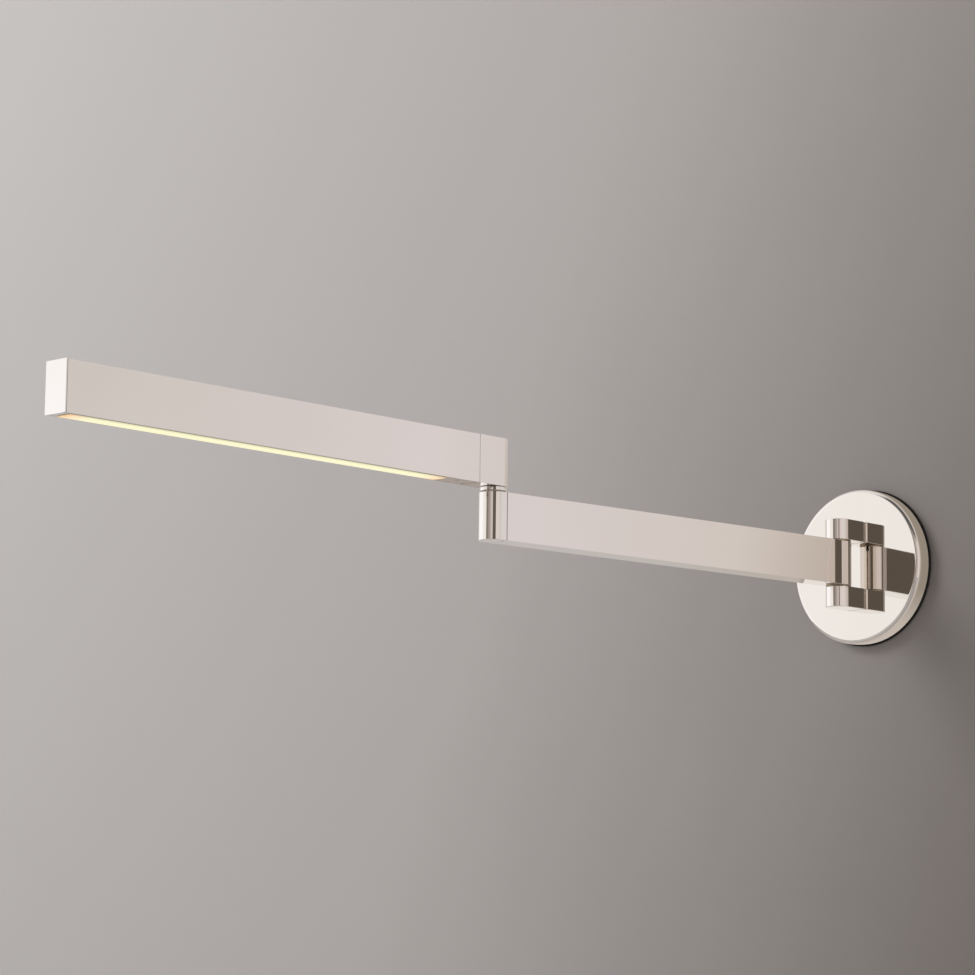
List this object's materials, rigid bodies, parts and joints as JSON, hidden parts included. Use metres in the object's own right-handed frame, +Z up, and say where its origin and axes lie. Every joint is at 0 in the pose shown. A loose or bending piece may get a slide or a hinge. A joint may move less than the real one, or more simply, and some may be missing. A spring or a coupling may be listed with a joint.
{
  "type": "swing arm wall sconce",
  "caption": "Wall light with a round plate, a hinged straight arm, and a pivoting bar light with a glowing strip along its underside.",
  "frame": {"origin": "centre of the wall plate's back, on the wall", "axes": "+Y into the wall, so the lamp stands out along -Y; +Z up; +X to the right seen from the room"},
  "size_m": [0.1288, 0.8271, 0.1288],
  "materials": {
    "polished_nickel": "warm polished nickel plate",
    "zinc_steel": "zinc-plated steel",
    "green_screw": "green earth screw",
    "bronze": "sintered bronze",
    "nylon": "black nylon",
    "pale_nylon": "natural nylon",
    "foam": "black closed-cell foam",
    "driver_case": "white moulded case",
    "cable": "black insulation",
    "aluminium": "extruded aluminium",
    "led_board": "white solder mask",
    "phosphor": "yellow phosphor line",
    "lens": "frosted warm-white lens"
  },
  "bodies": {
    "wall_plate": {"backplate": "polished_nickel", "wall_gasket": "foam", "mounting_bar": "zinc_steel", "ground_screw": "green_screw", "rim_screw": "zinc_steel", "ear_upper": "polished_nickel", "ear_lower": "polished_nickel", "ear_screw_upper": "zinc_steel", "ear_screw_lower": "zinc_steel", "ear_dowel_upper": "zinc_steel", "ear_dowel_lower": "zinc_steel", "hinge_pin": "zinc_steel", "hinge_washer_upper": "bronze", "hinge_washer_lower": "bronze", "led_driver": "driver_case", "driver_screw_upper": "zinc_steel", "driver_screw_lower": "zinc_steel", "terminal_block": "nylon", "input_lead": "cable", "hinge_lead": "cable"},
    "arm": {"arm_tube": "polished_nickel", "wall_knuckle": "polished_nickel", "elbow_knuckle": "polished_nickel", "hinge_bush_upper": "bronze", "hinge_bush_lower": "bronze", "elbow_bush_upper": "bronze", "elbow_bush_lower": "bronze", "elbow_cover": "polished_nickel", "knuckle_screw_wall": "zinc_steel", "knuckle_screw_elbow": "zinc_steel", "arm_cable": "cable"},
    "bar_light": {"end_block": "polished_nickel", "elbow_stem": "zinc_steel", "elbow_collar": "polished_nickel", "elbow_washer": "pale_nylon", "spring_washer": "zinc_steel", "elbow_nut": "zinc_steel", "stem_screw": "zinc_steel", "housing_screw": "zinc_steel", "led_housing": "polished_nickel", "end_cap": "polished_nickel", "cap_screw": "zinc_steel", "light_carrier": "aluminium", "carrier_screw_inner": "zinc_steel", "carrier_screw_outer": "zinc_steel", "led_board": "led_board", "led_strip": "phosphor", "diffuser": "lens", "underside_cover": "polished_nickel", "cover_screw_front": "zinc_steel", "cover_screw_rear": "zinc_steel", "head_cable": "cable"}
  },
  "joints": [
    {"name": "arm_swing", "type": "hinge", "parent": "wall_plate", "child": "arm", "pos_m": [0, -0.0385, 0], "axis": [0, 0, 1], "range_deg": [-85, 95]},
    {"name": "head_swing", "type": "hinge", "parent": "arm", "child": "bar_light", "pos_m": [-0.03268, -0.41207, 0], "axis": [0, 0, -1], "range_deg": [-155, 165]}
  ]
}
